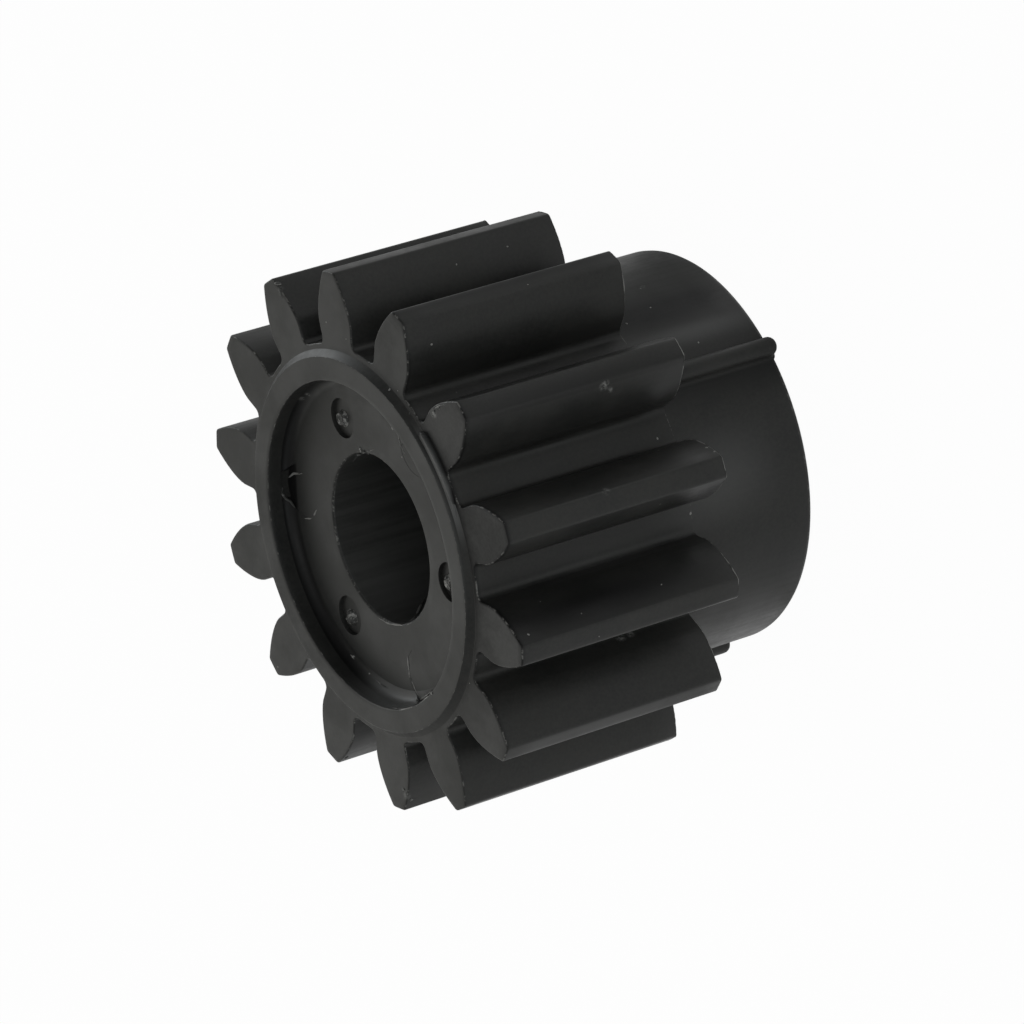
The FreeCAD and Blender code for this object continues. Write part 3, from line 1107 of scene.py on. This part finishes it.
def scatteredFlakes():
    # A crumbled flake on every point, laid to its surface
    tree, given, result = newTree("scatteredFlakes", [
        ("Flatness", "Float", 0.5),
        ("Stretch", "Float", 1.4),
        ("Crumble", "Float", 0.00003),
        ("Seed", "Int", 4),
    ])
    lie = named(tree, "lie", "FLOAT_VECTOR")
    aligned = addNode(tree, "FunctionNodeAlignRotationToVector", {"Vector": lie}, axis="Z")
    spin = addNode(tree, "FunctionNodeRandomValue", {"Seed": given["Seed"]}, data_type="FLOAT")
    rotation = addNode(tree, "FunctionNodeRotateRotation", {
        "Rotation": aligned.outputs[0],
        "Rotate By": turnedBy(tree, mathNode(tree, "MULTIPLY", spin.outputs[1], 2 * math.pi)),
    }, rotation_space="LOCAL")
    reach = named(tree, "reach", "FLOAT")
    scale = addNode(tree, "ShaderNodeCombineXYZ", {
        "X": mathNode(tree, "MULTIPLY", reach, given["Stretch"]),
        "Y": reach,
        "Z": mathNode(tree, "MULTIPLY", reach, given["Flatness"]),
    })
    ball = addNode(tree, "GeometryNodeMeshIcoSphere", {"Radius": 1.0, "Subdivisions": 4})
    real = realCopies(tree, {
        "Points": given["Geometry"],
        "Instance": ball.outputs[0],
        "Rotation": rotation.outputs[0],
        "Scale": scale.outputs[0],
    })
    position = addNode(tree, "GeometryNodeInputPosition").outputs[0]
    noise = addNode(tree, "ShaderNodeTexNoise", {"Vector": position, "Scale": 11000.0, "Detail": 2.0})
    moved = pushedBy(tree, real, noise, given["Crumble"])
    return finishTree(tree, moved, given["Finish"], result)


def raggedThreads():
    # A fine ragged thread of plastic along every line, thin at its ends and broken where the noise is low
    tree, given, result = newTree("raggedThreads", [
        ("Radius", "Float", 0.00002),
        ("Spacing", "Float", 0.00004),
        ("Wander", "Float", 0.00003),
        ("Break Level", "Float", 0.4),
        ("Break Scale", "Float", 1600.0),
        ("Sides", "Int", 6),
    ])
    curve = addNode(tree, "GeometryNodeMeshToCurve", {0: given["Geometry"]})
    even = addNode(tree, "GeometryNodeResampleCurve", {
        "Curve": curve.outputs[0],
        "Length": given["Spacing"],
    }, mode="LENGTH")
    position = addNode(tree, "GeometryNodeInputPosition").outputs[0]
    wobble = addNode(tree, "ShaderNodeTexNoise", {"Vector": position, "Scale": 7000.0, "Detail": 1.0})
    moved = pushedBy(tree, even.outputs[0], wobble, given["Wander"])
    breaks = addNode(tree, "ShaderNodeTexNoise", {
        "Vector": position,
        "Scale": given["Break Scale"],
        "Detail": 2.0,
    })
    share = addNode(tree, "ShaderNodeMapRange", {
        "Value": breaks.outputs[0],
        "From Min": given["Break Level"],
        "From Max": mathNode(tree, "ADD", given["Break Level"], 0.2),
        "To Min": 0.15,
    }).outputs[0]
    along = addNode(tree, "GeometryNodeSplineParameter").outputs["Factor"]
    taper = mathNode(tree, "POWER", mathNode(tree, "SINE", mathNode(tree, "MULTIPLY", along, math.pi)), 0.5)
    ring = addNode(tree, "GeometryNodeCurvePrimitiveCircle", {"Resolution": given["Sides"], "Radius": 1.0})
    tube = addNode(tree, "GeometryNodeCurveToMesh", {
        "Curve": moved,
        "Profile Curve": ring.outputs[0],
        "Scale": mathNode(tree, "MULTIPLY", mathNode(tree, "MULTIPLY", share, taper), given["Radius"]),
        "Fill Caps": True,
    })
    smooth = addNode(tree, "GeometryNodeSetShadeSmooth", {"Geometry": tube.outputs[0]})
    return finishTree(tree, smooth.outputs[0], given["Finish"], result)


spots = [(tuple(onSurface(x, y)[0]), reach * mm, strength) for x, y, reach, strength in rubs.values()]
fillAcetal(acetal, spots)

flake = scatteredFlakes()
thread = raggedThreads()

speckLook = {"Flatness": 0.35, "Stretch": 1.3, "Crumble": 0.02 * mm, "Seed": 4, "Finish": paleBurr}
chipLook = {"Flatness": 0.3, "Stretch": 1.5, "Crumble": 0.12 * mm, "Seed": 9, "Finish": tornStub}
flakeLooks = {
    "paleSpecks": (specks, speckLook),
    "tornChips": (chips, chipLook),
}
threadLooks = {
    "raisedLines": (threads, {"Radius": 0.032 * mm, "Finish": paleBurr}),
    "raisedRidges": (ridges, {"Radius": 0.055 * mm, "Break Level": 0.3, "Finish": paleBurr}),
    "pinFold": (folds, {"Radius": 0.065 * mm, "Break Level": -0.5, "Sides": 10, "Finish": dullFold}),
}
small = []             # the small pieces, in the order they are made
for name, (places, values) in flakeLooks.items():
    small.append(newPiece(name, placedPoints(places)))
    useTree(small[-1], flake, values)
for name, (lines, values) in threadLooks.items():
    small.append(newPiece(name, placedLines(lines)))
    useTree(small[-1], thread, values)

ledge = {              # flash left along part of the ring's side, flat on top
    "firstAngle": 7.0,
    "lastAngle": -26.0,
    "inner": 8.42,
    "outer": 8.82,
    "top": 0.17,           # above the teeth's face
    "rise": 0.05,          # how much higher its outer edge is
    "bevel": 0.04,
    "sunk": 0.1,           # how far it reaches into the teeth's face
    "inset": 0.02,
    "swellsOver": 0.05,    # share of its length over which it rises at the first end
    "fadesOver": 0.45,     # and over which it sinks away at the last
    "turns": 60,
}


def ledgeMesh():
    # The section is swept along the ring and sinks into it at both ends
    g = ledge
    foot = toothFront - g["sunk"]
    vertices = []
    for t in np.linspace(0, 1, g["turns"]):
        angle = math.radians(g["firstAngle"] + (g["lastAngle"] - g["firstAngle"]) * t)
        swell = min(1, math.sqrt(t / g["swellsOver"])) * min(1, (1 - t) / g["fadesOver"])
        outer = g["inner"] + (g["outer"] - g["inner"]) * swell
        top = toothFront + g["top"] * swell
        bevel, rise = g["bevel"] * swell, g["rise"] * swell
        section = [
            (g["inner"] - g["inset"], foot),
            (g["inner"], top - bevel),
            (g["inner"] + bevel, top),
            (outer - bevel, top + rise),
            (outer, top + rise - bevel),
            (outer + bevel, foot),
        ]
        vertices += [(*(polar(radius, angle) * mm), z * mm) for radius, z in section]
    wide = len(section)
    faces = bandFaces(g["turns"], wide)
    faces.append(tuple(range(wide)))
    faces.append(tuple(range(len(vertices) - wide, len(vertices))))
    mesh = meshOf("ringLedge", vertices, faces=faces)
    mesh.materials.append(acetal)
    return mesh


small.append(newPiece("ringLedge", ledgeMesh()))

toothFlash = {         # flash along the rear outline of every tooth
    "radius": 0.026,
    "height": 0.02,
    "inset": 0.01,
    "clear": 0.25,         # it ends this far above the root
    "breakLevel": 0.44,
    "breakScale": 700.0,
}


def flashMesh():
    columns = toothColumns()
    keep = np.linalg.norm(columns["points"], axis=1) > rootRadius + toothFlash["clear"]
    outline = columns["points"][keep] - columns["normals"][keep] * toothFlash["inset"]
    z = gear["hubLength"] + toothFlash["height"]
    vertices = [(x * mm, y * mm, z * mm) for x, y in outline]
    return meshOf("toothFlash", vertices, [(i, i + 1) for i in range(len(vertices) - 1)])


small.append(newPiece("toothFlash", flashMesh()))
useTree(small[-1], around, {
    "Count": gear["teeth"],
    "Step Angle": 2 * math.pi / gear["teeth"],
    "Weld Distance": 0.0,
    "Finish": paleBurr,
})
useTree(small[-1], thread, {
    "Radius": toothFlash["radius"] * mm,
    "Spacing": 0.06 * mm,
    "Wander": 0.03 * mm,
    "Break Level": toothFlash["breakLevel"],
    "Break Scale": toothFlash["breakScale"],
    "Finish": paleBurr,
})
for piece in small:
    settle(piece)
    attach(piece, "root")
print("specks, chips, lines and flash made")

# Floor and light
floorCorners = [(-3, -3, 0), (3, -3, 0), (3, 3, 0), (-3, 3, 0)]
floor = newPiece("floor", meshOf("floor", floorCorners, faces=[(0, 1, 2, 3)]))

whiteFloor = {
    "cameraShare": 0.97,   # the rest takes the gear's shadow
    "glossShare": 0.5,
    "lit": 0.85,
}
floorTones = {         # more or less of the floor shows in reflections there: azimuth, half width, amount
    "behind": (56, 34, -0.45),
    "paleStrip": (23, 13, 0.4),
    "front": (-4, 17, -0.45),
    "side": (-105, 30, 0.25),
}


def paleFloor():
    # White where the camera sees it, partly so in reflections
    material = bpy.data.materials.new("paleFloor")
    material.use_nodes = True
    tree = material.node_tree
    tree.nodes.clear()
    path = tree.nodes.new("ShaderNodeLightPath").outputs
    glow = addNode(tree, "ShaderNodeEmission", {"Color": (1, 1, 1, 1), "Strength": 1.0})
    diffuse = addNode(tree, "ShaderNodeBsdfDiffuse", {"Color": (*[whiteFloor["lit"]] * 3, 1)})
    rays = mathNode(tree, "MAXIMUM", path["Is Camera Ray"], path["Is Transmission Ray"])
    place = addNode(tree, "ShaderNodeTexCoord").outputs["Object"]
    axes = addNode(tree, "ShaderNodeSeparateXYZ", {0: place}).outputs
    tone = whiteFloor["glossShare"]
    for azimuth, halfWidth, amount in floorTones.values():
        near = nearAzimuth(tree, axes, math.radians(azimuth), math.radians(halfWidth))
        tone = mathNode(tree, "MULTIPLY_ADD", near, amount, tone)
    share = mathNode(tree, "MAXIMUM", mathNode(tree, "MULTIPLY", rays, whiteFloor["cameraShare"]),
                     mathNode(tree, "MULTIPLY", path["Is Glossy Ray"], tone))
    mixed = addNode(tree, "ShaderNodeMixShader", {0: share, 1: diffuse.outputs[0], 2: glow.outputs[0]})
    out = tree.nodes.new("ShaderNodeOutputMaterial")
    tree.links.new(mixed.outputs[0], out.inputs["Surface"])
    return material


floor.data.materials.append(paleFloor())

room = {
    "base": 0.025,
    "whiteInGloss": 0.08,
}

cool, warm = (0.95, 0.99, 1.0), (1.0, 1.0, 0.955)
panels = {             # soft panels: azimuth, elevation, strength, focus, tint, share that shows in gloss
    "windowHigh": (-32, 46, 0.9, 9, cool, 0.2),
    "windowMiddle": (-12, 19, 0.85, 9, cool, 0.2),
    "windowLow": (-45, 4, 0.75, 9, cool, 0.4),
    "nearSide": (-70, 3, 0.75, 9, cool, 1.0),
    "lowSide": (-115, 2, 0.35, 9, cool, 1.0),
    "back": (158, 32, 0.9, 9, warm, 1.0),
    "backLow": (178, 7, 0.55, 9, warm, 1.0),
    "backHigh": (-170, 53, 0.5, 9, warm, 1.0),
    "overhead": (130, 62, 0.22, 9, warm, 1.0),
    "rimLight": (118, 5, 4.0, 25, cool, 1.0),
}

world = bpy.data.worlds.new("studio")
bpy.context.scene.world = world
world.use_nodes = True
wt = world.node_tree
wt.nodes.clear()
path = wt.nodes.new("ShaderNodeLightPath").outputs
direction = wt.nodes.new("ShaderNodeTexCoord").outputs["Generated"]


def upTo(azimuth, elevation):
    a, e = math.radians(azimuth), math.radians(elevation)
    return Vector((math.cos(a) * math.cos(e), math.sin(a) * math.cos(e), math.sin(e)))


light = (room["base"],) * 3
for azimuth, elevation, power, focus, tint, inGloss in panels.values():
    facing = vectorNode(wt, "DOT_PRODUCT", direction, upTo(azimuth, elevation))
    off = mathNode(wt, "MULTIPLY", mathNode(wt, "SUBTRACT", facing, 1.0), focus)
    shown = mathNode(wt, "MULTIPLY_ADD", path["Is Glossy Ray"], power * (inGloss - 1), power)
    glow = mathNode(wt, "MULTIPLY", mathNode(wt, "EXPONENT", off), shown)
    links = {0: glow, 1: tint, 2: light}
    light = addNode(wt, "ShaderNodeVectorMath", links, operation="MULTIPLY_ADD").outputs[0]
ambient = addNode(wt, "ShaderNodeBackground", {"Color": light, "Strength": 1.0})
white = addNode(wt, "ShaderNodeBackground", {"Color": (1, 1, 1, 1), "Strength": 1.0})
gloss = mathNode(wt, "MULTIPLY", path["Is Glossy Ray"], room["whiteInGloss"])
seen = mathNode(wt, "MAXIMUM", path["Is Camera Ray"], path["Is Transmission Ray"])
seen = mathNode(wt, "MAXIMUM", seen, gloss)
mixed = addNode(wt, "ShaderNodeMixShader", {0: seen, 1: ambient.outputs[0], 2: white.outputs[0]})
worldOut = wt.nodes.new("ShaderNodeOutputWorld")
wt.links.new(mixed.outputs[0], worldOut.inputs["Surface"])


topLight = {
    "azimuth": -20,        # degrees from +X; lengths in metres
    "elevation": 62,
    "distance": 0.5,
    "size": 0.4,
    "watts": 0.2,
    "aimHeight": 0.009,
}
away = upTo(topLight["azimuth"], topLight["elevation"]) * topLight["distance"]
lampData = bpy.data.lights.new("topLight", "AREA")
lampData.shape = "DISK"
lampData.size = topLight["size"]
lampData.energy = topLight["watts"]
lamp = bpy.data.objects.new("topLight", lampData)
bpy.context.scene.collection.objects.link(lamp)
lamp.location = away + Vector((0, 0, topLight["aimHeight"]))
lamp.rotation_mode = "QUATERNION"
lamp.rotation_quaternion = (-away).to_track_quat("-Z", "Y")
